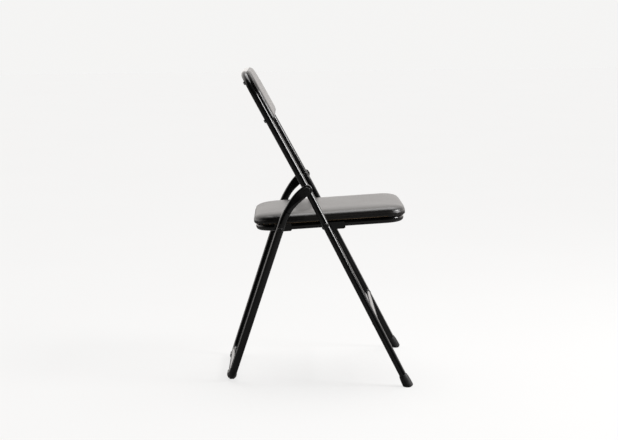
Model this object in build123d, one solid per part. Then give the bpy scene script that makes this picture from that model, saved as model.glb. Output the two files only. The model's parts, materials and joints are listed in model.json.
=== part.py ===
from build123d import *
import math
import os

# Folding chair with a padded seat and back. Millimetres, +Z up, +X to the sitter's left,
# the chair faces -Y. The origin is on the floor, under the middle of the chair's box.

# ---- driving dimensions -------------------------------------------------------------
front_tube_d = 18.0        # tube of the front legs and back
rear_tube_d = 20.0         # tube of the rear frame
seat_tube_d = 18.0         # tube of the ring under the seat
brace_tube_d = 16.0        # tube of the brace between the front legs
tube_wall = 1.2

front_reach = 226.57       # from the middle of the chair to the front legs' axes at the floor
rear_reach = 229.32        # the same for the rear legs
front_leg_slope = 0.5031   # how far a front leg leans back for each millimetre of height
back_slope = 0.5348        # the same above the bend
rear_leg_slope = 0.3362    # how far a rear leg leans forward
bend_height = 474.2        # where the legs turn into the back uprights
top_bar_height = 788.0
front_foot_half = 227.0    # half the spacing of the front legs, at the floor
bend_half = 176.0          # the same at the bend
top_half = 155.5           # the same at the top bar
top_corner_r = 62.0
bend_r = 500.0

brace_height = 161.0       # of the brace between the front legs
tube_start = 8.0           # the front tubes end this far above the floor, in their caps

main_pivot_height = 500.0  # pivot of the rear frame on the uprights
arch_r = 165.0             # radius of the rear leg's arched top
rear_corner_r = 28.0
rear_bar_half = 152.0      # half the spacing of the rear legs, at the floor
washer_t = 1.6
pressed_t = 8.0            # thickness of the rear leg's pressed end
pressed_w = 27.0
pressed_from = 0.30        # share of the arch that is still round tube
pressed_full = 0.88        # share of the arch where it is fully flat
pressed_edge_r = 3.0
slot_margin = 0.05         # a slot has to be a little longer than it is wide
stud_height = 400.0        # of the studs on the rear legs that the seat drops over
play = 0.15                # side play of a riveted joint
running = 0.05             # radial clearance of a pin that turns

seat_pivot_height = 408.2
seat_tilt = 3.2            # degrees, front edge up
seat_half = 160.0
seat_front = 203.0         # from the seat pivot to the pad's front corners
seat_rear = 182.0
seat_bow = 6.0             # how far the front edge bows out in the middle
front_corner_r = 46.0
back_corner_r = 60.0
pad_inset = 4.0            # the ring stands in from the pad's edge by this much
board_t = 9.0
foam_t = 16.0
cover_t = 1.2              # the vinyl, all round

pad_low = 222.0            # backrest's lower edge, measured up the uprights from the bend
pad_drop = 4.5             # how far its upper edge stays below the top of the bar
pad_low_corner_r = 10.0
back_board_t = 4.0
back_foam_t = 4.0
back_edge_r = 4.2          # rounding of the backrest's edge
seat_edge_r = 11.0         # rounding of the seat's upper edge
seat_low_edge_r = 2.2      # rounding of its lower edge
board_low_edge_r = 1.8
back_overhang = 6.0        # how far the backrest reaches past the middle of the tubes
back_screw_row = 8.0       # lower screws of the backrest, above its lower edge
seat_screw_row = 92.0      # rear screws of the seat, behind its pivot
seat_screw_half = 70.0     # front screws of the seat, from its middle

ring_front_r = 38.0        # bends of the seat's ring, on its axis
ring_rear_r = 46.0
plate_t = 3.0              # hinge and latch plates on the ring's sides
plate_corner_r = 5.0
plate_weld = 1.5           # how far a plate reaches in along the round side of the ring
hinge_plate_size = (60.0, 18.0)
hinge_plate_place = (-20.0, -5.0)   # its middle from the pivot: rearward, up
latch_plate_size = (44.0, 20.0)
latch_plate_place = (-8.0, -1.0)    # its middle from the stud
latch_clearance = 0.35     # round the stud, in the notch
latch_release = 0.16       # share of the fold over which the stud leaves the notch

rivet_d = 8.0
main_head = (16.0, 3.2)    # heads of rivets, studs and screws: diameter and height
main_tail = (13.0, 1.8)
seat_head = (14.0, 3.0)
seat_tail = (14.0, 2.5)
stud_d = 8.0
stud_head = (13.0, 3.4)
washer_d = 19.0
spacer_d = 13.0
screw_d = 5.0
screw_head = (9.5, 3.2)
screw_head_r = 1.6
head_rounding = 0.7        # a domed head's edge radius, as a share of its height
screw_short = 1.0          # a screw's tip stays this far inside its nut
recess_size = (5.0, 1.1, 2.6)       # one slot of the cross recess
head_seat = 0.6            # a head's flat sits this far into a round tube's side
stud_head_seat = 1.6
arch_start_margin = 70.0   # length of leg below the stud that its head is shaped to
back_nut_d = 7.0           # threaded inserts in the back board
seat_nut_d = 8.0           # barrel of the tee nuts in the seat board
seat_nut_flange_d = 16.0
seat_nut_flange_t = 1.2
glide_t = 2.5
glide_length = 34.0
glide_grip = 4.5           # how far the glide's sides reach above the bar's middle
glide_sole_w = 12.0
cap_t = 2.6                # wall of the rubber caps
cap_height = 29.0
cap_foot_r = 4.5           # rounding of the cap's foot
cap_rings = ((0.0, -1.2), (7.0, 0.0), (21.0, 1.1), (35.0, 1.3))     # distance down the leg, and flare
through = 600.0            # length of a cut that goes right through the chair

# ---- worked out from them -----------------------------------------------------------
front_r = front_tube_d / 2
rear_r = rear_tube_d / 2
seat_r = seat_tube_d / 2
ring_outer = seat_half - pad_inset


def front_y(z):
    """Y of the front frame's axis at a height."""
    if z <= bend_height:
        return -front_reach + front_leg_slope * z
    return -front_reach + front_leg_slope * bend_height + back_slope * (z - bend_height)


def front_x(z):
    """Half the spacing of the front frame's tubes at a height."""
    if z <= bend_height:
        return front_foot_half + (bend_half - front_foot_half) * z / bend_height
    return bend_half + (top_half - bend_half) * (z - bend_height) / (top_bar_height - bend_height)


main_pivot = Vector(0, front_y(main_pivot_height), main_pivot_height)
seat_pivot = Vector(0, front_y(seat_pivot_height), seat_pivot_height)
front_lean = math.degrees(math.atan(front_leg_slope))
rear_lean = math.degrees(math.atan(rear_leg_slope))
back_lean = math.degrees(math.atan(back_slope))
rear_fold = front_lean + rear_lean          # legs parallel
seat_fold = 90 - front_lean + seat_tilt     # seat flat against the front legs

# The seat's own frame: origin on the pivot line, +Y to the rear, +Z up through the pad.
seat_frame = Pos(0, seat_pivot.Y, seat_pivot.Z) * Rot(-seat_tilt, 0, 0)
# The back's own frame: origin at the bend, +Y up the uprights, +Z out of the pad's face.
back_frame = Pos(0, front_y(bend_height), bend_height) * Rot(90 - back_lean, 0, 0)


# ---- helpers ------------------------------------------------------------------------
def mirrored(part):
    return mirror(part, Plane.YZ)


def rounded_edges(points, radii):
    """Straight runs through the points, with an arc at each inner point."""
    edges = []
    start = points[0]
    for before, corner, after, radius in zip(points, points[1:], points[2:], radii):
        to_before = (before - corner).normalized()
        to_after = (after - corner).normalized()
        turn = math.radians(180 - to_before.get_angle(to_after))
        reach = radius * math.tan(turn / 2)
        arc_start = corner + to_before * reach
        arc_end = corner + to_after * reach
        middle_direction = (to_before + to_after).normalized()
        middle = corner + middle_direction * radius * (1 / math.cos(turn / 2) - 1)
        edges.append(Line(start, arc_start))
        edges.append(ThreePointArc(arc_start, middle, arc_end))
        start = arc_end
    edges.append(Line(start, points[-1]))
    return edges


def rounded_path(points, radii):
    return Wire(rounded_edges(points, radii))


def tube(path, diameter, wall=tube_wall):
    section_plane = Plane(origin=path @ 0, z_dir=path % 0)
    outer = sweep(section_plane * Circle(diameter / 2), path=path)
    bore = sweep(section_plane * Circle(diameter / 2 - wall), path=path)
    return outer - bore


def rod(path, diameter):
    section_plane = Plane(origin=path @ 0, z_dir=path % 0)
    return sweep(section_plane * Circle(diameter / 2), path=path)


def along_x(low, high, diameter, centre):
    """A cylinder that lies along X between two planes."""
    place = Pos((low + high) / 2, centre.Y, centre.Z) * Rot(0, 90, 0)
    return place * Cylinder(diameter / 2, high - low)


def domed_head(x, outward, size, centre):
    """A rivet head that stands on the plane at x and points along X."""
    diameter, height = size
    head = Cylinder(diameter / 2, height, align=(Align.CENTER, Align.CENTER, Align.MIN))
    rim = head.edges().sort_by(Axis.Z)[-1]
    head = fillet(rim, height * head_rounding)
    return Pos(x, centre.Y, centre.Z) * Rot(0, 90 * outward, 0) * head


def pan_screw(length):
    """A screw that stands on its head: the shank points along +Z from the origin."""
    head_d, head_t = screw_head
    head = Cylinder(head_d / 2, head_t, align=(Align.CENTER, Align.CENTER, Align.MAX))
    head = fillet(head.edges().sort_by(Axis.Z)[0], screw_head_r)
    slot = Box(*recess_size)
    recess = Pos(0, 0, -head_t) * (slot + Rot(0, 0, 90) * slot)
    shank = Cylinder(screw_d / 2, length, align=(Align.CENTER, Align.CENTER, Align.MIN))
    return head - recess + shank


def hanging_cylinder(diameter, height):
    return Cylinder(diameter / 2, height, align=(Align.CENTER, Align.CENTER, Align.MAX))


def tee_nut_body():
    """The room that a tee nut takes in the seat board, down from its upper face."""
    return hanging_cylinder(seat_nut_flange_d, seat_nut_flange_t) + hanging_cylinder(seat_nut_d, board_t)


def pad_outline(inset, half, front, rear, bow, front_r_, rear_r_):
    """The seat pad's outline, drawn in the seat's frame, stepped in by a margin."""
    left, right = -half + inset, half - inset
    near, far = -front + inset, rear - inset
    front_edge = ThreePointArc((left, near), (0, near - bow), (right, near))
    others = Polyline((right, near), (right, far), (left, far), (left, near))
    face = make_face(Wire([front_edge] + others.edges()))
    corners = face.vertices().sort_by(Axis.Y)
    face = fillet(corners[:2], front_r_ - inset)
    corners = face.vertices().sort_by(Axis.Y)[-2:]
    return fillet(corners, rear_r_ - inset)


def seat_outline(inset):
    return pad_outline(inset, seat_half, seat_front, seat_rear, seat_bow,
                       front_corner_r, back_corner_r)


# ---- front frame --------------------------------------------------------------------
def front_frame_path():
    foot = Vector(front_x(tube_start), front_y(tube_start), tube_start)
    bend = Vector(bend_half, front_y(bend_height), bend_height)
    corner = Vector(top_half, front_y(top_bar_height), top_bar_height)
    half = [foot, bend, corner]
    other = [Vector(-p.X, p.Y, p.Z) for p in reversed(half)]
    return rounded_path(half + other, [bend_r, top_corner_r, top_corner_r, bend_r])


def back_screw_places():
    """Where the backrest's screws cross the uprights and the top corners, in the back's frame."""
    lean = math.cos(math.radians(back_lean))
    up = pad_low + back_screw_row
    upright = (front_x(bend_height + up * lean), up)
    top = (top_bar_height - bend_height) / lean
    flare = math.atan((bend_half - top_half) / top)
    middle = top_half + top_corner_r * (math.tan(flare) - 1 / math.cos(flare))
    reach = top_corner_r * math.cos(math.radians(45))
    corner = (middle + reach, top - top_corner_r + reach)
    return [(side * x, y) for x, y in (upright, corner) for side in (-1, 1)]


def make_front_frame_tube():
    frame_tube = tube(front_frame_path(), front_tube_d)
    for pivot in (main_pivot, seat_pivot):
        frame_tube -= along_x(-through / 2, through / 2, rivet_d, pivot)
    for x, up in back_screw_places():
        frame_tube -= back_frame * Pos(x, up, 0) * Cylinder(screw_d / 2, 3 * front_tube_d)
    return frame_tube


def make_front_brace():
    axis = Vector(0, front_y(brace_height), brace_height)
    half = front_x(brace_height)
    brace = along_x(-half, half, brace_tube_d, axis)
    brace -= along_x(-through / 2, through / 2, brace_tube_d - 2 * tube_wall, axis)
    return brace - rod(front_frame_path(), front_tube_d)


def leg_plane(height):
    """A plane across the front leg's axis, with its normal up the leg."""
    origin = Vector(front_x(height), front_y(height), height)
    lean_x = (bend_half - front_foot_half) / bend_height
    return Plane(origin=origin, x_dir=(0, -1, 0), z_dir=(lean_x, front_leg_slope, 1))


def make_front_foot_cap():
    """A rubber cap: flared, with a rounded foot cut level with the floor."""
    top = leg_plane(cap_height)
    rings = [Plane(origin=top.origin - top.z_dir * drop, z_dir=top.z_dir) * Circle(front_r + cap_t + flare)
             for drop, flare in cap_rings]
    cap = loft(rings)
    cap = fillet(cap.edges().sort_by(Axis.Z)[0], cap_foot_r)
    cap = cap & Pos(0, 0, through / 2) * Box(through, through, through)
    above = 2 * cap_height
    low = Vector(front_x(tube_start), front_y(tube_start), tube_start)
    high = Vector(front_x(above), front_y(above), above)
    return cap - rod(Wire([Line(low, high)]), front_tube_d)


# ---- rear frame ---------------------------------------------------------------------
def side_line(height):
    """Y of the rear leg's straight axis at a height."""
    return rear_reach - rear_leg_slope * height


pressed_x = front_x(main_pivot_height) + front_r + 0.6 + washer_t + play + pressed_t / 2
bar_height = glide_t + rear_r

along_leg = Vector(0, -math.sin(math.radians(rear_lean)), math.cos(math.radians(rear_lean)))
across_leg = Vector(0, -math.cos(math.radians(rear_lean)), -math.sin(math.radians(rear_lean)))
from_floor = main_pivot - Vector(0, rear_reach, 0)
arch_turn = math.acos(1 - from_floor.dot(across_leg) / arch_r)
arch_start_reach = from_floor.dot(along_leg) - arch_r * math.sin(arch_turn)
arch_start = Vector(pressed_x, rear_reach, 0) + along_leg * arch_start_reach
arch_corner = arch_start + along_leg * arch_r * math.tan(arch_turn / 2)
arch_end = Vector(pressed_x, main_pivot.Y, main_pivot.Z)
arch_centre = arch_start + across_leg * arch_r


def rear_x(height):
    """Half the spacing of the rear legs' axes at a height, below the arch."""
    return rear_bar_half + (pressed_x - rear_bar_half) * (height - bar_height) / (arch_start.Z - bar_height)


def arch_point(fraction):
    """A point of the arch and its direction, from its start to the pivot."""
    turn = arch_turn * fraction
    point = arch_start + along_leg * arch_r * math.sin(turn) + across_leg * arch_r * (1 - math.cos(turn))
    direction = along_leg * math.cos(turn) + across_leg * math.sin(turn)
    return point, direction


def rear_frame_path():
    """From one arch, down the leg, along the floor bar and up to the other arch."""
    start, _ = arch_point(pressed_from)
    middle, _ = arch_point(pressed_from / 2)
    corner = Vector(rear_bar_half, side_line(bar_height), bar_height)
    right = [start, middle, arch_start, corner]
    left = [Vector(-point.X, point.Y, point.Z) for point in right]
    frame = rounded_edges([arch_start, corner, left[3], left[2]], [rear_corner_r, rear_corner_r])
    return Wire([ThreePointArc(*right[:3])] + frame + [ThreePointArc(left[2], left[1], left[0])])


def pressed_end():
    """The rear leg's top: round tube pressed into a flat tongue with a rounded end."""
    sections = []
    steps = 4
    fractions = [pressed_from + (pressed_full - pressed_from) * step / steps for step in range(steps + 1)]
    for fraction in fractions + [1.0]:
        share = min(1.0, (fraction - pressed_from) / (pressed_full - pressed_from))
        share = share * share * (3 - 2 * share)
        width = rear_tube_d + slot_margin + (pressed_w - rear_tube_d) * share
        thickness = rear_tube_d + (pressed_t - rear_tube_d) * share
        point, direction = arch_point(fraction)
        across = direction.cross(Vector(1, 0, 0))
        section_plane = Plane(origin=point, x_dir=across, z_dir=direction)
        sections.append(section_plane * SlotOverall(width, thickness))
    tongue = loft(sections)
    disc = along_x(pressed_x - pressed_t / 2, pressed_x + pressed_t / 2, pressed_w, main_pivot)
    disc = fillet(disc.edges().filter_by(GeomType.CIRCLE), pressed_edge_r)
    hole = along_x(0, through / 2, rivet_d + 2 * running, main_pivot)
    return tongue + disc - hole


def make_rear_frame_tube():
    frame_tube = tube(rear_frame_path(), rear_tube_d)
    end = pressed_end()
    frame_tube = frame_tube + end + mirrored(end)
    stud_centre = Vector(0, side_line(stud_height), stud_height)
    return frame_tube - along_x(-through / 2, through / 2, stud_d, stud_centre)


def make_rear_glide():
    """A plastic channel that clips round the floor bar beside its corner."""
    axis = Vector(0, side_line(bar_height), bar_height)
    outer_end = rear_bar_half - rear_corner_r
    middle = outer_end - glide_length / 2
    channel = along_x(outer_end - glide_length, outer_end, rear_tube_d + 2 * glide_t, axis)
    above = Pos(middle, axis.Y, bar_height + glide_grip + rear_tube_d / 2)
    channel -= above * Box(2 * glide_length, 3 * rear_tube_d, rear_tube_d)
    sole = Pos(middle, axis.Y, glide_t / 2) * Box(glide_length, glide_sole_w, glide_t)
    return channel + sole - along_x(0, through / 2, rear_tube_d, axis)


def make_seat_studs():
    centre = Vector(0, side_line(stud_height), stud_height)
    leg_x = rear_x(stud_height)
    tip = ring_outer + play
    stud = along_x(tip, leg_x + rear_r, stud_d, centre)
    head = domed_head(leg_x + rear_r - stud_head_seat, 1, stud_head, centre)
    low = stud_height - arch_start_margin
    leg = Line(Vector(rear_x(low), side_line(low), low), arch_start)
    stud = stud + (head - rod(Wire([leg]), rear_tube_d))
    return [stud, mirrored(stud)]


# ---- pivots -------------------------------------------------------------------------
def make_main_rivets():
    """A rivet through each upright, with the pressed end of the rear leg outside it."""
    inner = front_x(main_pivot_height) - front_r + head_seat - 1.0
    outer = pressed_x + pressed_t / 2 + play
    rivet = along_x(inner, outer, rivet_d, main_pivot)
    rivet += domed_head(outer, 1, main_head, main_pivot)
    rivet += domed_head(inner, -1, main_tail, main_pivot)
    rivet -= rod(front_frame_path(), front_tube_d) - along_x(-through / 2, through / 2, rivet_d, main_pivot)
    return [rivet, mirrored(rivet)]


def make_main_washers():
    """A washer between each upright and the rear leg, shaped to the upright's tube."""
    outer = pressed_x - pressed_t / 2 - play
    washer = along_x(outer - washer_t - front_r / 3, outer, washer_d, main_pivot)
    washer -= along_x(0, through / 2, rivet_d, main_pivot)
    washer -= rod(front_frame_path(), front_tube_d)
    washer = washer.solids().sort_by(Axis.X)[-1]
    return [washer, mirrored(washer)]


def make_seat_rivets():
    """A rivet through each front leg and the side of the seat ring."""
    ring_inner = ring_outer - seat_tube_d
    leg_outer = front_x(seat_pivot_height) + front_r
    rivet = along_x(ring_inner - play, leg_outer, rivet_d, seat_pivot)
    rivet += domed_head(ring_inner - play, -1, seat_tail, seat_pivot)
    rivet += domed_head(leg_outer - head_seat, 1, seat_head, seat_pivot)
    rivet -= rod(front_frame_path(), front_tube_d) - along_x(-through / 2, through / 2, rivet_d, seat_pivot)
    return [rivet, mirrored(rivet)]


def make_seat_spacers():
    """A bush between each front leg and the seat's hinge plate."""
    inner = ring_outer + plate_t + play
    spacer = along_x(inner, front_x(seat_pivot_height), spacer_d, seat_pivot)
    spacer -= along_x(0, through / 2, rivet_d, seat_pivot)
    spacer -= rod(front_frame_path(), front_tube_d)
    spacer = spacer.solids().sort_by(Axis.X)[0]
    return [spacer, mirrored(spacer)]


# ---- backrest -----------------------------------------------------------------------
pad_top = (top_bar_height - bend_height) / math.cos(math.radians(back_lean)) + front_r - pad_drop


def back_outline(inset):
    """The backrest's outline in the back's frame: it follows the bent tube."""
    low, high = pad_low + inset, pad_top - inset
    half_low = front_x(bend_height + low * math.cos(math.radians(back_lean))) + back_overhang - inset
    half_high = front_x(bend_height + high * math.cos(math.radians(back_lean))) + back_overhang - inset
    corners = Polyline((-half_low, low), (half_low, low), (half_high, high), (-half_high, high),
                       (-half_low, low))
    face = make_face(corners)
    face = fillet(face.vertices().sort_by(Axis.Y)[:2], pad_low_corner_r - inset)
    return fillet(face.vertices().sort_by(Axis.Y)[-2:], top_corner_r - inset)


def make_back_board():
    board = Pos(0, 0, front_r) * extrude(back_outline(cover_t), back_board_t)
    for x, up in back_screw_places():
        board -= Pos(x, up, front_r) * Cylinder(back_nut_d / 2, 3 * back_board_t)
    return back_frame * board


def make_back_foam():
    foam = extrude(back_outline(cover_t), back_foam_t)
    foam = fillet(foam.edges().group_by(Axis.Z)[-1], back_edge_r - cover_t)
    return back_frame * Pos(0, 0, front_r + back_board_t) * foam


def make_back_cover():
    """The vinyl cover of the backrest, from its face round the edge to the tube."""
    height = back_board_t + back_foam_t + cover_t
    skin = extrude(back_outline(0), height)
    skin = fillet(skin.edges().group_by(Axis.Z)[-1], back_edge_r)
    inside = extrude(back_outline(cover_t), height - cover_t)
    inside = fillet(inside.edges().group_by(Axis.Z)[-1], back_edge_r - cover_t)
    return back_frame * Pos(0, 0, front_r) * (skin - inside)


def make_back_screws():
    return [back_frame * Pos(x, up, -front_r) * pan_screw(front_tube_d + back_board_t - screw_short)
            for x, up in back_screw_places()]


def make_back_nuts():
    top = front_r + back_board_t
    nuts = []
    for x, up in back_screw_places():
        nut = Cylinder(back_nut_d / 2, back_board_t) - Cylinder(screw_d / 2, 2 * back_board_t)
        nuts.append(back_frame * Pos(x, up, top - back_board_t / 2) * nut)
    return nuts


# ---- seat ---------------------------------------------------------------------------
def ring_path():
    inset = pad_inset + seat_r
    half = seat_half - inset
    near = -seat_front - seat_bow / 2 + inset
    far = seat_rear - inset
    points = [Vector(0, near, 0), Vector(half, near, 0), Vector(half, far, 0), Vector(-half, far, 0),
              Vector(-half, near, 0), Vector(0, near, 0)]
    return rounded_path(points, [ring_front_r, ring_rear_r, ring_rear_r, ring_front_r])


def seat_screw_places():
    """Two screws in the ring's front bar, and one in each of its sides, in the seat's frame."""
    inset = pad_inset + seat_r
    front = (seat_screw_half, -seat_front - seat_bow / 2 + inset)
    rear = (seat_half - inset, seat_screw_row)
    return [(side * x, y) for x, y in (front, rear) for side in (-1, 1)]


def make_seat_ring():
    ring = tube(ring_path(), seat_tube_d)
    ring -= Rot(0, 90, 0) * Cylinder(rivet_d / 2 + running, through)
    for x, y in seat_screw_places():
        ring -= Pos(x, y, 0) * Cylinder(screw_d / 2, 2 * seat_tube_d)
    return seat_frame * ring


def side_plate(outline):
    """A plate on the outer side of the ring, from an outline in (rearward, up)."""
    face = Plane.YZ * outline
    plate = Pos(ring_outer - plate_weld, 0, 0) * extrude(face, plate_t + plate_weld)
    return plate - rod(ring_path(), seat_tube_d)


def make_hinge_plate():
    """The plate that carries the seat's rivet. It hangs a little below the ring."""
    outline = Pos(*hinge_plate_place) * RectangleRounded(*hinge_plate_size, plate_corner_r)
    plate = side_plate(outline)
    plate -= Rot(0, 90, 0) * Cylinder(rivet_d / 2 + running, through)
    return seat_frame * plate.solids().sort_by(Axis.X)[-1]


def stud_in_seat(fold_share):
    """The rear frame's stud, in the seat's frame, part of the way through the fold."""
    stud = Vector(0, side_line(stud_height), stud_height)
    turned = (stud - main_pivot).rotate(Axis.X, -rear_fold * fold_share) + main_pivot
    seat_angle = seat_fold * fold_share - seat_tilt
    return (turned - seat_pivot).rotate(Axis.X, -seat_angle)


def make_latch_plate():
    """The plate whose notch drops over the rear frame's stud and locks the legs."""
    stud = stud_in_seat(0)
    rearward, up = latch_plate_place
    outline = Pos(stud.Y + rearward, up) * RectangleRounded(*latch_plate_size, plate_corner_r)
    plate = side_plate(outline)
    steps = 24
    for step in range(steps + 1):
        at = stud_in_seat(latch_release * step / steps)
        plate -= Pos(0, at.Y, at.Z) * Rot(0, 90, 0) * Cylinder(stud_d / 2 + latch_clearance, through)
    plate = plate.solids().sort_by(SortBy.VOLUME)[-1]
    return seat_frame * plate


def make_seat_board():
    board = extrude(seat_outline(cover_t), board_t)
    board = fillet(board.edges().group_by(Axis.Z)[0], board_low_edge_r)
    for x, y in seat_screw_places():
        board -= Pos(x, y, board_t) * tee_nut_body()
    return seat_frame * Pos(0, 0, seat_r) * board


def make_seat_nuts():
    nut = tee_nut_body() - Cylinder(screw_d / 2, 3 * board_t)
    top = seat_r + board_t
    return [seat_frame * Pos(x, y, top) * nut for x, y in seat_screw_places()]


def make_seat_foam():
    foam = extrude(seat_outline(cover_t), foam_t - cover_t)
    foam = fillet(foam.edges().group_by(Axis.Z)[-1], seat_edge_r - cover_t)
    return seat_frame * Pos(0, 0, seat_r + board_t) * foam


def make_seat_cover():
    """The vinyl cover of the seat, from the top round the edge to the board's underside."""
    height = board_t + foam_t
    skin = extrude(seat_outline(0), height)
    skin = fillet(skin.edges().group_by(Axis.Z)[-1], seat_edge_r)
    skin = fillet(skin.edges().group_by(Axis.Z)[0], seat_low_edge_r)
    inside = extrude(seat_outline(cover_t), height - cover_t)
    inside = fillet(inside.edges().group_by(Axis.Z)[-1], seat_edge_r - cover_t)
    inside = fillet(inside.edges().group_by(Axis.Z)[0], board_low_edge_r)
    return seat_frame * Pos(0, 0, seat_r) * (skin - inside)


def make_seat_screws():
    length = seat_tube_d + board_t - screw_short
    return [seat_frame * Pos(x, y, -seat_r) * pan_screw(length) for x, y in seat_screw_places()]


# ---- write the nodes ----------------------------------------------------------------
cap = make_front_foot_cap()
glide = make_rear_glide()
hinge_plate = make_hinge_plate()
latch_plate = make_latch_plate()

nodes = {
    "front_frame_tube": make_front_frame_tube(),
    "front_brace": make_front_brace(),
    "front_foot_cap_left": cap,
    "front_foot_cap_right": mirrored(cap),
    "back_board": make_back_board(),
    "back_foam": make_back_foam(),
    "back_cover": make_back_cover(),
    "back_screws": make_back_screws(),
    "back_nuts": make_back_nuts(),
    "main_pivot_rivets": make_main_rivets(),
    "main_pivot_washers": make_main_washers(),
    "seat_pivot_rivets": make_seat_rivets(),
    "seat_pivot_spacers": make_seat_spacers(),
    "rear_frame_tube": make_rear_frame_tube(),
    "rear_glide_left": glide,
    "rear_glide_right": mirrored(glide),
    "seat_support_studs": make_seat_studs(),
    "seat_ring": make_seat_ring(),
    "seat_hinge_plate_left": hinge_plate,
    "seat_hinge_plate_right": mirrored(hinge_plate),
    "seat_latch_plate_left": latch_plate,
    "seat_latch_plate_right": mirrored(latch_plate),
    "seat_board": make_seat_board(),
    "seat_foam": make_seat_foam(),
    "seat_cover": make_seat_cover(),
    "seat_screws": make_seat_screws(),
    "seat_nuts": make_seat_nuts(),
}

os.makedirs("parts", exist_ok=True)
for name, shape in nodes.items():
    solids = shape if isinstance(shape, list) else [shape]
    solids = [solid for item in solids for solid in item.solids()]
    node = solids[0] if len(solids) == 1 else Compound(children=solids)
    export_step(node, f"parts/{name}.step")

print("main pivot", main_pivot, "seat pivot", seat_pivot)
print("rear frame folds", rear_fold, "seat folds", seat_fold, "ratio", seat_fold / rear_fold)
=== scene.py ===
import json
import math

import bpy
from mathutils import Matrix, Vector


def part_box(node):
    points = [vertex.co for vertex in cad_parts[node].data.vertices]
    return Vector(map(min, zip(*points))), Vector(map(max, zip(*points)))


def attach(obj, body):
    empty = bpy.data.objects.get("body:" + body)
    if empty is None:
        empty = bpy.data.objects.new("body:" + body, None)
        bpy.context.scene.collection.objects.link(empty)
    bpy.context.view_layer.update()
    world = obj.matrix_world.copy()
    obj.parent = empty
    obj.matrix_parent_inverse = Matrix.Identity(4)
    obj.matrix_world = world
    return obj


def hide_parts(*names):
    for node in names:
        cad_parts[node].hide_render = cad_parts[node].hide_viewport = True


# The looks of a padded folding chair. Metres, +Z up, the chair faces -Y.
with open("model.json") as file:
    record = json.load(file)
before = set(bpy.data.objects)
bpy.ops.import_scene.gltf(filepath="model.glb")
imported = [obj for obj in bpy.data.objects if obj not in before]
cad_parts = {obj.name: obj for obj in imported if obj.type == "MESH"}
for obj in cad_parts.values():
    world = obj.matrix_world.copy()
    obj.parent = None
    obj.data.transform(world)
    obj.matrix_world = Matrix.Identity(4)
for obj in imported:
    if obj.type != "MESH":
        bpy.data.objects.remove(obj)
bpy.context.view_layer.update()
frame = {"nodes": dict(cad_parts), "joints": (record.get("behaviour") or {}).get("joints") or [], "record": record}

# ---- sizes, in metres and radians ----------------------------------------------------
MM = 0.001
SEAT_TILT = math.radians(3.2)
BACK_LEAN = math.atan(0.5348)
BEND_HEIGHT = 0.4742
FRONT_TUBE_R = 9 * MM
FRONT_LEG_SLOPE = 0.5031
BRACE_R = 8 * MM
FRONT_LEG_TAPER = 0.1076    # how fast the legs close in with height
RING_R = 9 * MM             # of the seat's ring; the board lies on it
SEAT_BOARD_T = 9 * MM
BACK_BOARD_T = 4 * MM
BOARD_FRONT = -198 * MM     # of the seat board, in the seat's frame
BOARD_REAR = 176 * MM

SEAT_OUTLINE = {"taper": 0, "bow": 6 * MM, "radii": (46 * MM, 60 * MM)}
BACK_OUTLINE = {"taper": 8 * MM, "bow": 0, "radii": (10 * MM, 62 * MM)}
SKIN = 1.2 * MM             # the cover's thickness
RIM_R = 3.2 * MM            # rounding of the cover under the board's edge
RIM_PROUD = 0.7 * MM        # how far the cover bulges there
SEAT_HEM = 38 * MM          # vinyl turned under the seat board
BACK_HEM = 16 * MM
HEM_DROP = 0.7 * MM
TUCK = 2.5 * MM             # how far the cover's middle hides inside the board
NEAR_BOARD = 1.5 * MM       # a point this near the underside belongs to the hem
SEAT_SHOULDER = 80 * MM     # width of the rounded shoulder
BACK_SHOULDER = 40 * MM
SHOULDER_POWER = 3          # 2 is an ellipse, more is squarer
PLEAT_DEPTH = 0.35 * MM
PLEAT_REACH = 6 * MM
PLEATS = 90                 # in a full turn about the pad's middle

CLOTH_PRESSURE = 4.0
CLOTH_FRAMES = 20
EVENING_ROUNDS = 25
SEAT_SWELL = 1.2 * MM       # the furthest a point of the cover travels
BACK_SWELL = 1 * MM
SEAT_VOXEL = 4 * MM
BACK_VOXEL = 2.5 * MM

STAPLE_GAP = 34 * MM
STAPLE_SIZE = (0.9 * MM, 10 * MM, 0.8 * MM)
STAPLE_EDGE = 0.3 * MM
STAPLE_SINK = 0.35 * MM
STAPLE_INSET = 7 * MM       # from the hem's edge
STAPLE_END_INSET = 5 * MM
BEAD_R = 1.5 * MM
BEAD_PROUD = 0.4 * MM
LEG_PAST_BRACE = 0.5 * MM   # the leg's axis is taken this far beyond the brace's end
RIPPLE = 0.035              # share of the distance from the brace's axis
RIPPLES = 26

FLOOR_SIZE = 40
FLOOR_GLOW = 0.735
CAMERA_PLACE = (-3.933, 0.075, 0.946)
CAMERA_HEADING = math.radians(-90.82)
CAMERA_DOWN = math.radians(7.937)
CAMERA_ROLL = math.radians(-0.614)
CAMERA_LENS = 87.35

joints = {joint["name"]: Vector(joint["pos_m"]) for joint in frame["joints"]}
seat_pivot = joints["seat_fold"]
main_pivot = joints["rear_frame_fold"]
bend_y = main_pivot.y - math.tan(BACK_LEAN) * (main_pivot.z - BEND_HEIGHT)
seat_place = Matrix.Translation(seat_pivot) @ Matrix.Rotation(-SEAT_TILT, 4, "X")
back_place = Matrix.Translation((0, bend_y, BEND_HEIGHT)) @ Matrix.Rotation(math.pi / 2 - BACK_LEAN, 4, "X")


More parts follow.
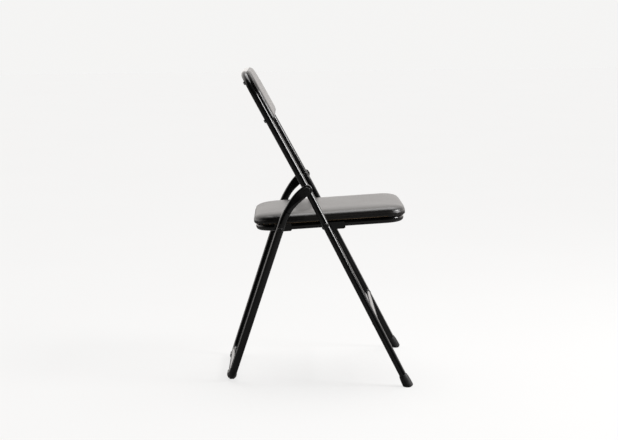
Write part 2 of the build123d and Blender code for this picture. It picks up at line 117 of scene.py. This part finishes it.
# ---- materials -----------------------------------------------------------------------
class Finish:
    """A material with short ways to add its nodes."""

    def __init__(self, name):
        self.material = bpy.data.materials.new(name)
        self.material.use_nodes = True
        self.nodes = self.material.node_tree.nodes
        self.links = self.material.node_tree.links
        self.shader = self.nodes["Principled BSDF"]
        self.coordinates = self.nodes.new("ShaderNodeTexCoord").outputs["Object"]

    def set(self, **values):
        for name, value in values.items():
            self.shader.inputs[name.replace("_", " ")].default_value = value

    def stretched(self, scale):
        mapping = self.nodes.new("ShaderNodeMapping")
        mapping.inputs["Scale"].default_value = scale
        self.links.new(self.coordinates, mapping.inputs["Vector"])
        return mapping.outputs["Vector"]

    def noise(self, scale, detail=2.0, vector=None, rough=0.5):
        noise = self.nodes.new("ShaderNodeTexNoise")
        noise.inputs["Scale"].default_value = scale
        noise.inputs["Detail"].default_value = detail
        noise.inputs["Roughness"].default_value = rough
        self.links.new(vector or self.coordinates, noise.inputs["Vector"])
        return noise.outputs["Fac"]

    def cells(self, scale, feature):
        cells = self.nodes.new("ShaderNodeTexVoronoi")
        cells.feature = feature
        cells.inputs["Scale"].default_value = scale
        self.links.new(self.coordinates, cells.inputs["Vector"])
        return cells.outputs["Distance"]

    def ranged(self, value, low, high, to_low, to_high):
        ranged = self.nodes.new("ShaderNodeMapRange")
        sides = {"From Min": low, "From Max": high, "To Min": to_low, "To Max": to_high}
        for name, number in sides.items():
            ranged.inputs[name].default_value = number
        self.links.new(value, ranged.inputs["Value"])
        return ranged.outputs["Result"]

    def colours(self, value, *stops):
        ramp = self.nodes.new("ShaderNodeValToRGB")
        places = ramp.color_ramp.elements
        while len(places) < len(stops):
            places.new(0.5)
        for place, (position, colour) in zip(places, stops):
            place.position = position
            place.color = (*colour, 1)
        self.links.new(value, ramp.inputs["Fac"])
        return ramp.outputs["Color"]

    def math(self, operation, first, second):
        node = self.nodes.new("ShaderNodeMath")
        node.operation = operation
        for socket, value in zip(node.inputs, (first, second)):
            if isinstance(value, (int, float)):
                socket.default_value = value
            else:
                self.links.new(value, socket)
        return node.outputs["Value"]

    def feed(self, output, name):
        self.links.new(output, self.shader.inputs[name])

    def bump(self, height, strength, distance):
        bump = self.nodes.new("ShaderNodeBump")
        bump.inputs["Strength"].default_value = strength
        bump.inputs["Distance"].default_value = distance
        self.links.new(height, bump.inputs["Height"])
        before = self.shader.inputs["Normal"].links
        if before:
            self.links.new(before[0].from_socket, bump.inputs["Normal"])
        self.links.new(bump.outputs["Normal"], self.shader.inputs["Normal"])


def gloss_black_paint():
    """Powder coat: near black, glossy, with a faint orange peel and a few dull rubs."""
    paint = Finish("gloss_black_paint")
    rubs = paint.noise(22, 5, rough=0.62)
    colour = paint.colours(rubs, (0.35, (0.0045, 0.0045, 0.0047)), (0.75, (0.009, 0.009, 0.0093)))
    paint.feed(colour, "Base Color")
    paint.feed(paint.ranged(rubs, 0.3, 0.8, 0.15, 0.22), "Roughness")
    paint.bump(paint.noise(420, 2), 0.02, 0.05 * MM)
    paint.set(Coat_Weight=0.15, Coat_Roughness=0.12, Specular_IOR_Level=0.45)
    return paint.material


def black_vinyl():
    """Upholstery vinyl: black, a fine pebbled grain, a soft shine that varies a little."""
    vinyl = Finish("black_vinyl")
    cloudy = vinyl.noise(9, 4)
    warped = vinyl.noise(60, 3)
    pebbles = vinyl.cells(950, "F1")
    creases = vinyl.cells(620, "DISTANCE_TO_EDGE")
    colour = vinyl.colours(cloudy, (0.3, (0.012, 0.0112, 0.0106)), (0.75, (0.018, 0.0168, 0.0158)))
    vinyl.feed(colour, "Base Color")
    wear = vinyl.ranged(cloudy, 0.3, 0.7, 0.0, 0.04)
    grain = vinyl.ranged(pebbles, 0.0, 0.8, 0.27, 0.34)
    vinyl.feed(vinyl.math("ADD", wear, grain), "Roughness")
    vinyl.bump(warped, 0.06, 0.3 * MM)
    vinyl.bump(vinyl.ranged(creases, 0.0, 0.12, 0.0, 1.0), 0.10, 0.05 * MM)
    vinyl.bump(pebbles, 0.06, 0.06 * MM)
    vinyl.set(Specular_IOR_Level=0.5)
    return vinyl.material


def foot_rubber():
    """Moulded rubber: dark grey, matt, with mould texture and dust."""
    rubber = Finish("foot_rubber")
    dust = rubber.noise(130, 5, rough=0.7)
    colour = rubber.colours(dust, (0.4, (0.016, 0.016, 0.0165)), (0.8, (0.040, 0.039, 0.037)))
    rubber.feed(colour, "Base Color")
    rubber.feed(rubber.ranged(dust, 0.3, 0.8, 0.48, 0.68), "Roughness")
    rubber.bump(rubber.noise(1100, 2), 0.25, 0.12 * MM)
    rubber.set(Specular_IOR_Level=0.45)
    return rubber.material


def glide_plastic():
    """Moulded nylon: black, satin, with fine scuffs."""
    plastic = Finish("glide_plastic")
    scuffs = plastic.noise(90, 6, plastic.stretched((1, 4, 1)), 0.7)
    colour = plastic.colours(scuffs, (0.45, (0.020, 0.020, 0.021)), (0.8, (0.050, 0.050, 0.049)))
    plastic.feed(colour, "Base Color")
    plastic.feed(plastic.ranged(scuffs, 0.3, 0.8, 0.32, 0.5), "Roughness")
    plastic.bump(plastic.noise(1400, 2), 0.12, 0.05 * MM)
    return plastic.material


def rivet_black():
    """Blackened steel: satin, with small handling marks."""
    steel = Finish("rivet_black")
    marks = steel.noise(260, 4, rough=0.65)
    colour = steel.colours(marks, (0.4, (0.006, 0.006, 0.006)), (0.8, (0.014, 0.014, 0.015)))
    steel.feed(colour, "Base Color")
    steel.feed(steel.ranged(marks, 0.3, 0.8, 0.42, 0.55), "Roughness")
    steel.bump(marks, 0.06, 0.06 * MM)
    return steel.material


def zinc_plate():
    """Bright zinc: brushed grey metal with a faint cloudiness."""
    zinc = Finish("zinc_plate")
    clouds = zinc.noise(380, 4, rough=0.6)
    zinc.feed(zinc.colours(clouds, (0.3, (0.34, 0.35, 0.36)), (0.75, (0.56, 0.57, 0.58))), "Base Color")
    zinc.feed(zinc.ranged(clouds, 0.25, 0.8, 0.22, 0.42), "Roughness")
    zinc.bump(zinc.noise(2200, 2), 0.12, 0.04 * MM)
    zinc.set(Metallic=1.0)
    return zinc.material


def raw_plywood():
    """Unpainted plywood: long grain, growth bands, small pores."""
    wood = Finish("raw_plywood")
    along = wood.stretched((26, 1.6, 26))
    bands = wood.noise(3.2, 6, along, 0.62)
    pores = wood.noise(60, 3, wood.stretched((14, 0.7, 14)), 0.7)
    wood.feed(wood.colours(bands, (0.28, (0.30, 0.185, 0.095)), (0.5, (0.46, 0.31, 0.175)),
                           (0.72, (0.55, 0.395, 0.235))), "Base Color")
    wood.feed(wood.ranged(pores, 0.3, 0.8, 0.55, 0.78), "Roughness")
    wood.bump(pores, 0.25, 0.25 * MM)
    return wood.material


def black_hardboard():
    """Hardboard painted black: flat, with a fine mesh print."""
    board = Finish("black_hardboard")
    fibres = board.noise(240, 5, rough=0.65)
    colour = board.colours(fibres, (0.35, (0.011, 0.011, 0.011)), (0.8, (0.026, 0.025, 0.024)))
    board.feed(colour, "Base Color")
    board.feed(board.ranged(fibres, 0.3, 0.8, 0.5, 0.68), "Roughness")
    board.bump(board.cells(560, "F1"), 0.2, 0.12 * MM)
    return board.material


# ---- helpers for making pieces --------------------------------------------------------
def only(*objects):
    """Selects these objects and nothing else."""
    bpy.ops.object.select_all(action="DESELECT")
    for piece in objects:
        piece.select_set(True)
    bpy.context.view_layer.objects.active = objects[0]


def applied(piece, kind, **settings):
    """Adds a modifier to a piece and applies it."""
    only(piece)
    modifier = piece.modifiers.new(kind.lower(), kind)
    for name, value in settings.items():
        setattr(modifier, name, value)
    bpy.ops.object.modifier_apply(modifier=modifier.name)


def joined(name, pieces):
    only(*pieces)
    bpy.ops.object.join()
    piece = bpy.context.view_layer.objects.active
    piece.name = name
    piece.data.name = name
    return piece


def finished(piece, material, body, angle=35):
    """Shades a piece, gives it its material and lets it ride on its body."""
    only(piece)
    bpy.ops.object.transform_apply(location=True, rotation=True, scale=True)
    bpy.ops.object.shade_smooth_by_angle(angle=math.radians(angle))
    piece.data.materials.clear()
    piece.data.materials.append(material)
    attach(piece, body)


def copied(name, node):
    """A new piece with a node's mesh, its loose triangles merged."""
    piece = bpy.data.objects.new(name, frame["nodes"][node].data.copy())
    bpy.context.scene.collection.objects.link(piece)
    only(piece)
    bpy.ops.object.mode_set(mode="EDIT")
    bpy.ops.mesh.select_all(action="SELECT")
    bpy.ops.mesh.remove_doubles(threshold=0.01 * MM)
    bpy.ops.object.mode_set(mode="OBJECT")
    return piece


def inset_from(half, taper, front, rear, bow, front_radius, rear_radius):
    """How far a point lies inside a pad's outline: a rectangle with round corners, bow and taper."""
    middle = (front + rear) / 2

    def inset(x, y):
        in_front = y < middle
        radius = front_radius if in_front else rear_radius
        width = half - taper * (y - front) / (rear - front)
        reach = middle - front - bow * (x / half) ** 2 if in_front else rear - middle
        out_x, out_y = abs(x) - (width - radius), abs(y - middle) - (reach - radius)
        outside = math.hypot(max(out_x, 0), max(out_y, 0))
        return radius - outside - min(max(out_x, out_y), 0)

    return inset


# ---- pads ----------------------------------------------------------------------------
def evened(travels, edges, rounds):
    """Spreads each point's travel over its neighbours, so that a cover swells without dents."""
    for _ in range(rounds):
        sums = [travel.copy() for travel in travels]
        counts = [1] * len(travels)
        for a, b in edges:
            sums[a] += travels[b]
            sums[b] += travels[a]
            counts[a] += 1
            counts[b] += 1
        travels = [total / count for total, count in zip(sums, counts)]
    return travels


def swell(piece, held_below, most):
    """Blows the cover up over its foam. Points below a height stay, and none goes past a limit."""
    held = piece.vertex_groups.new(name="held")
    held.add([v.index for v in piece.data.vertices if v.co.z < held_below], 1.0, "REPLACE")
    only(piece)
    cloth = piece.modifiers.new("cloth", "CLOTH")
    cloth.settings.vertex_group_mass = held.name
    cloth.settings.use_pressure = True
    cloth.settings.uniform_pressure_force = CLOTH_PRESSURE
    cloth.settings.effector_weights.gravity = 0.0
    cloth.point_cache.frame_start = 1
    cloth.point_cache.frame_end = CLOTH_FRAMES
    for number in range(1, CLOTH_FRAMES + 1):
        bpy.context.scene.frame_set(number)
    swollen = piece.evaluated_get(bpy.context.evaluated_depsgraph_get())
    pairs = zip(swollen.data.vertices, piece.data.vertices)
    travels = [after.co - before.co for after, before in pairs]
    piece.modifiers.remove(cloth)
    travels = evened(travels, piece.data.edge_keys, EVENING_ROUNDS)
    for vertex, travel in zip(piece.data.vertices, travels):
        if travel.length > 1e-9:
            vertex.co += travel.normalized() * most * math.tanh(travel.length / most)
    bpy.context.scene.frame_set(1)
    piece.vertex_groups.clear()


def inward(inset, x, y):
    """The direction, across the pad, that leads away from its outline."""
    step = 0.5 * MM
    sideways = inset(x + step, y) - inset(x - step, y)
    lengthways = inset(x, y + step) - inset(x, y - step)
    return Vector((sideways, lengthways)).normalized()


def round_shoulder(piece, base, inset, width):
    """Draws the upper edge down and in, to a soft shoulder that runs on into the crown."""
    top = max(vertex.co.z for vertex in piece.data.vertices)
    for vertex in piece.data.vertices:
        x, y, z = vertex.co
        depth = inset(x, y)
        if z > base and depth < width:
            across, up = (width - depth) / width, (z - base) / (top - base)
            excess = (across ** SHOULDER_POWER + up ** SHOULDER_POWER) ** (1 / SHOULDER_POWER)
            if excess > 1:
                move = inward(inset, x, y) * (across - across / excess) * width
                vertex.co = (x + move.x, y + move.y, base + (z - base) / excess)


def turn_under(piece, bottom, inset, hem):
    """Tucks the cover under its board: a round rim, a hem, and the rest drawn up into the board."""
    low = bottom - SKIN
    for vertex in piece.data.vertices:
        x, y, z = vertex.co
        depth = inset(x, y)
        if z < bottom + NEAR_BOARD and depth > RIM_R:
            vertex.co.z = bottom + TUCK if depth > hem else bottom - HEM_DROP
        elif z < low + RIM_R:
            arm = Vector((RIM_R - depth, low + RIM_R - z))
            full = arm.normalized() * max(RIM_R, arm.length)
            move = inward(inset, x, y) * (arm.x - full.x)
            vertex.co = (x + move.x, y + move.y, low + RIM_R - full.y)


def pleat_corners(piece, bottom, height, inset, middle):
    """Small pleats where the cover is drawn round its corners, deepest at the lower edge."""
    for vertex in piece.data.vertices:
        x, y, z = vertex.co
        if inset(x, y) < PLEAT_REACH and bottom - 2 * MM < z < bottom + height:
            out = Vector((x, y - middle))
            turn = math.atan2(abs(out.y), abs(out.x))
            fade = math.sin(turn * 2) ** 8 * (1 - max(0.0, z - bottom) / height)
            push = out.normalized() * PLEAT_DEPTH * fade * math.cos(turn * PLEATS)
            vertex.co.x += push.x
            vertex.co.y += push.y


def make_pad(name, node, place, board, voxel, most, outline, shoulder, hem):
    """A padded piece grown from its foam's solid: stretched over the board, swollen and hemmed."""
    former = copied(name + "_former", node)
    former.data.transform(place.inverted())
    low = min(vertex.co.z for vertex in former.data.vertices)
    for vertex in former.data.vertices:
        if vertex.co.z < low + 0.2 * MM:
            vertex.co.z -= board
    bottom = low - board
    points = [vertex.co for vertex in former.data.vertices]
    half = max(point.x for point in points) + SKIN
    front = min(point.y for point in points) - SKIN
    rear = max(point.y for point in points) + SKIN
    inset = inset_from(half, outline["taper"], front, rear, outline["bow"], *outline["radii"])
    pad = bpy.data.objects.new(name, former.data.copy())
    bpy.context.scene.collection.objects.link(pad)
    applied(pad, "REMESH", mode="VOXEL", voxel_size=voxel)
    for vertex, normal in [(vertex, vertex.normal.copy()) for vertex in pad.data.vertices]:
        vertex.co += normal * SKIN
    swell(pad, bottom + 0.8 * board, most)
    round_shoulder(pad, bottom + board, inset, shoulder)
    applied(pad, "SMOOTH", factor=0.5, iterations=4)
    applied(pad, "SUBSURF", levels=1, render_levels=1)
    rim = pad.vertex_groups.new(name="rim")
    rim.add([v.index for v in pad.data.vertices if v.co.z < bottom + board], 1.0, "REPLACE")
    applied(pad, "SHRINKWRAP", target=former, wrap_mode="OUTSIDE", offset=SKIN + RIM_PROUD,
            vertex_group=rim.name)
    pad.vertex_groups.clear()
    bpy.data.objects.remove(former)
    pleat_corners(pad, bottom, board, inset, (front + rear) / 2)
    turn_under(pad, bottom, inset, hem)
    pad.data.transform(place)
    return pad


def make_seat_pad(vinyl):
    pad = make_pad("seat_pad", "seat_foam", seat_place, SEAT_BOARD_T, SEAT_VOXEL, SEAT_SWELL,
                   SEAT_OUTLINE, SEAT_SHOULDER, SEAT_HEM)
    finished(pad, vinyl, "seat", 60)
    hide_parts("seat_cover", "seat_foam")


def make_back_pad(vinyl):
    pad = make_pad("back_pad", "back_foam", back_place, BACK_BOARD_T, BACK_VOXEL, BACK_SWELL,
                   BACK_OUTLINE, BACK_SHOULDER, BACK_HEM)
    finished(pad, vinyl, "front_frame", 60)
    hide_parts("back_cover", "back_foam")


def make_staples(zinc):
    """Staples through the hem under the seat board, in rows inside the ring."""
    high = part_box("seat_board")[1]
    half = high.x - SEAT_HEM + STAPLE_INSET
    front, rear = BOARD_FRONT + SEAT_HEM, BOARD_REAR - SEAT_HEM
    spots = []
    for side in (-1, 1):
        count = round((rear - front) / STAPLE_GAP)
        for step in range(count):
            spots.append((side * half, front + (rear - front) * (step + 0.5) / count, 0))
        count = round(2 * half / STAPLE_GAP)
        end = rear + STAPLE_END_INSET if side > 0 else front - STAPLE_END_INSET
        for step in range(count):
            spots.append((-half + 2 * half * (step + 0.5) / count, end, math.pi / 2))
    staples = []
    for x, y, turn in spots:
        bpy.ops.mesh.primitive_cube_add(size=1, location=(x, y, RING_R - HEM_DROP - STAPLE_SINK))
        staple = bpy.context.active_object
        staple.scale = STAPLE_SIZE
        staple.rotation_euler.z = turn
        bpy.ops.object.transform_apply(location=True, rotation=True, scale=True)
        applied(staple, "BEVEL", width=STAPLE_EDGE, segments=2)
        staples.append(staple)
    piece = joined("hem_staples", staples)
    piece.data.transform(seat_place)
    finished(piece, zinc, "seat", 40)


# ---- welds ---------------------------------------------------------------------------
def weld_bead(centre, leg_point, leg_direction, side):
    """A rippled bead where the end of the brace meets a leg. It follows the leg's round side."""
    bpy.ops.mesh.primitive_torus_add(major_radius=BRACE_R + BEAD_PROUD, minor_radius=BEAD_R,
                                     major_segments=96, minor_segments=12,
                                     rotation=(0, math.pi / 2, 0))
    bead = bpy.context.active_object
    bpy.ops.object.transform_apply(location=True, rotation=True, scale=True)
    leg_direction = leg_direction.normalized()
    sideways = Vector((1, 0, 0)) - leg_direction * leg_direction.x
    for vertex in bead.data.vertices:
        angle = math.atan2(vertex.co.z, vertex.co.y)
        ripple = 1 + RIPPLE * math.sin(angle * RIPPLES)
        vertex.co.y *= ripple
        vertex.co.z *= ripple
        on_brace = Vector((0, math.cos(angle), math.sin(angle))) * BRACE_R
        offset = centre + on_brace - leg_point
        across = offset - leg_direction * offset.dot(leg_direction)
        a, b = sideways.length_squared, 2 * sideways.dot(across)
        c = across.length_squared - FRONT_TUBE_R ** 2
        reach = (-b - side * math.sqrt(max(0.0, b * b - 4 * a * c))) / (2 * a)
        vertex.co += Vector((reach, centre.y, centre.z))
    return bead


def make_brace_welds(paint):
    low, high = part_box("front_brace")
    centre = Vector((0, (low.y + high.y) / 2, (low.z + high.z) / 2))
    beads = []
    for side in (-1, 1):
        leg_point = Vector((side * (high.x + LEG_PAST_BRACE), centre.y, centre.z))
        leg_direction = Vector((-side * FRONT_LEG_TAPER, FRONT_LEG_SLOPE, 1))
        beads.append(weld_bead(centre, leg_point, leg_direction, side))
    finished(joined("brace_welds", beads), paint, "front_frame", 60)


# ---- the scene -----------------------------------------------------------------------
def make_floor():
    """A pale floor. It is brighter to the camera than in reflections, to keep the paint deep."""
    bpy.ops.mesh.primitive_plane_add(size=FLOOR_SIZE, location=(0, 0, 0))
    floor = bpy.context.active_object
    floor.name = "studio_floor"
    sweep = Finish("studio_sweep")
    clouds = sweep.noise(1.5, 3)
    colour = sweep.colours(clouds, (0.3, (0.15, 0.149, 0.148)), (0.8, (0.155, 0.154, 0.153)))
    sweep.feed(colour, "Base Color")
    sweep.set(Roughness=0.95, Specular_IOR_Level=0.0, Emission_Color=(1.0, 0.997, 0.992, 1))
    seen = sweep.nodes.new("ShaderNodeLightPath").outputs["Is Camera Ray"]
    sweep.feed(sweep.math("MULTIPLY", seen, FLOOR_GLOW), "Emission Strength")
    floor.data.materials.append(sweep.material)


def make_world():
    """A white studio: a plain backdrop for the camera, and light from the far side, +X."""
    world = bpy.data.worlds.new("studio")
    bpy.context.scene.world = world
    world.use_nodes = True
    nodes, links = world.node_tree.nodes, world.node_tree.links
    nodes.clear()
    direction = nodes.new("ShaderNodeTexCoord")
    split = nodes.new("ShaderNodeSeparateXYZ")
    glow = nodes.new("ShaderNodeMapRange")
    glow.interpolation_type = "SMOOTHSTEP"
    sides = {"From Min": -0.25, "From Max": 0.55, "To Min": 0.012, "To Max": 1.4}
    for name, value in sides.items():
        glow.inputs[name].default_value = value
    lit = nodes.new("ShaderNodeBackground")
    lit.inputs["Color"].default_value = (1.0, 0.965, 0.94, 1)
    seen = nodes.new("ShaderNodeBackground")
    seen.inputs["Color"].default_value = (0.912, 0.908, 0.90, 1)
    path = nodes.new("ShaderNodeLightPath")
    mix = nodes.new("ShaderNodeMixShader")
    out = nodes.new("ShaderNodeOutputWorld")
    links.new(direction.outputs["Generated"], split.inputs["Vector"])
    links.new(split.outputs["X"], glow.inputs["Value"])
    links.new(glow.outputs["Result"], lit.inputs["Strength"])
    links.new(path.outputs["Is Camera Ray"], mix.inputs["Fac"])
    links.new(lit.outputs["Background"], mix.inputs[1])
    links.new(seen.outputs["Background"], mix.inputs[2])
    links.new(mix.outputs["Shader"], out.inputs["Surface"])


def softbox(name, place, aim, size, power):
    """A rectangular soft light, turned towards a point."""
    light = bpy.data.lights.new(name, "AREA")
    light.shape = "RECTANGLE"
    light.size, light.size_y = size
    light.energy = power
    lamp = bpy.data.objects.new(name, light)
    lamp.location = place
    lamp.rotation_euler = (Vector(aim) - Vector(place)).to_track_quat("-Z", "Y").to_euler()
    bpy.context.scene.collection.objects.link(lamp)


def skylight(strength, spread):
    """Even light from high behind the chair, the same over the whole floor."""
    light = bpy.data.lights.new("skylight", "SUN")
    light.energy = strength
    light.angle = math.radians(spread)
    lamp = bpy.data.objects.new("skylight", light)
    lamp.rotation_euler = Vector((-0.35, 0.1, -1)).to_track_quat("-Z", "Y").to_euler()
    bpy.context.scene.collection.objects.link(lamp)


def make_camera():
    camera = bpy.data.objects.new("camera", bpy.data.cameras.new("camera"))
    camera.data.sensor_width = 36
    camera.data.lens = CAMERA_LENS
    camera.data.clip_end = 100
    heading = Matrix.Rotation(CAMERA_HEADING, 4, "Z")
    down = Matrix.Rotation(math.pi / 2 - CAMERA_DOWN, 4, "X")
    roll = Matrix.Rotation(CAMERA_ROLL, 4, "Z")
    camera.matrix_world = Matrix.Translation(CAMERA_PLACE) @ heading @ down @ roll
    bpy.context.scene.collection.objects.link(camera)
    bpy.context.scene.camera = camera


def main():
    paint, vinyl, rubber = gloss_black_paint(), black_vinyl(), foot_rubber()
    plastic, steel, zinc = glide_plastic(), rivet_black(), zinc_plate()
    plywood, hardboard = raw_plywood(), black_hardboard()
    by_slot = {"frame_paint": paint, "rivet": steel, "glide": plastic, "foot_rubber": rubber,
               "board": plywood, "vinyl": vinyl, "zinc": zinc, "foam": vinyl, "back_panel": hardboard}
    for entry in frame["record"]["subparts"]:
        node = frame["nodes"][entry["node"]]
        node.data.materials.clear()
        node.data.materials.append(by_slot[entry["material_slot"]])
    make_seat_pad(vinyl)
    make_back_pad(vinyl)
    make_staples(zinc)
    make_brace_welds(paint)
    make_floor()
    make_world()
    skylight(strength=1.9, spread=50)
    softbox("front_light", place=(-0.61, -2.3, 1.8), aim=(-0.17, 0.05, 0.6), size=(0.9, 0.85), power=60)
    make_camera()
    bpy.context.scene.view_settings.view_transform = "Standard"


main()
